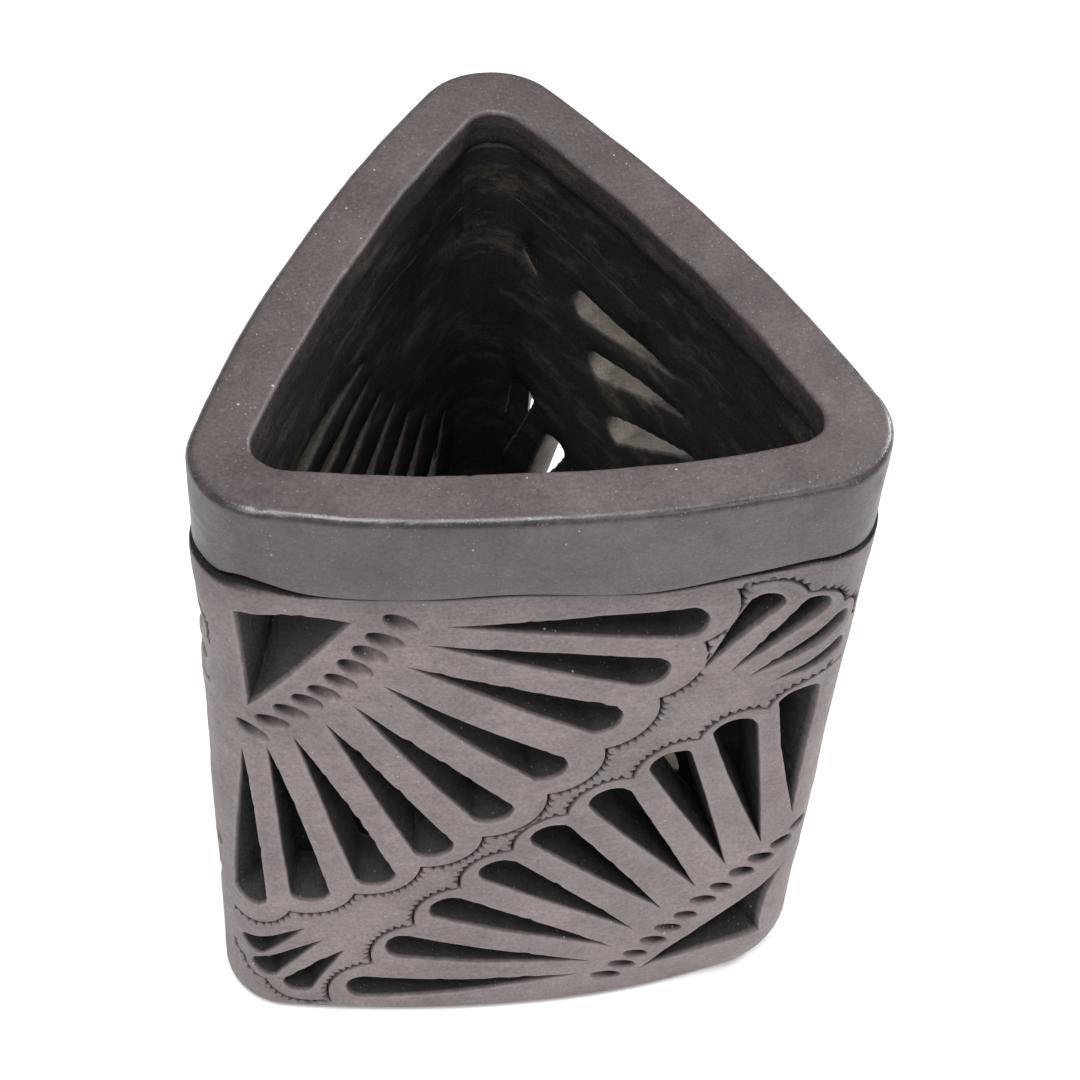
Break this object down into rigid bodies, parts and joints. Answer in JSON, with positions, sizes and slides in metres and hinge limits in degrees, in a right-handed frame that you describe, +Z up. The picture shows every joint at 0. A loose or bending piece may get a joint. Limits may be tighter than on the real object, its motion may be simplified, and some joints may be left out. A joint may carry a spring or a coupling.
{
  "type": "pierced clay pot",
  "caption": "Three-sided black clay pot with rounded corners, an open top, a plain rim band and walls pierced with fans of petals, for pencils or a candle.",
  "frame": {"origin": "middle of the flat underside, at the centroid of the three corners", "axes": "+Z up through the open top, -Y out of the front face, so the back corner points along +Y"},
  "size_m": [0.0812, 0.0756, 0.11],
  "materials": {
    "carved_clay": "matte smoke-fired clay with fine mica specks",
    "burnished_clay": "satin, rubbed smooth along the rim",
    "inner_clay": "dull unpolished clay, darker than the outside"
  },
  "bodies": {
    "root": {"base_slab": "inner_clay", "wall_front": "carved_clay", "wall_right": "carved_clay", "wall_left": "carved_clay", "rim_band": "burnished_clay", "floor_coil": "inner_clay", "corner_coil_front_left": "inner_clay", "corner_coil_front_right": "inner_clay", "corner_coil_back": "inner_clay"}
  },
  "joints": []
}
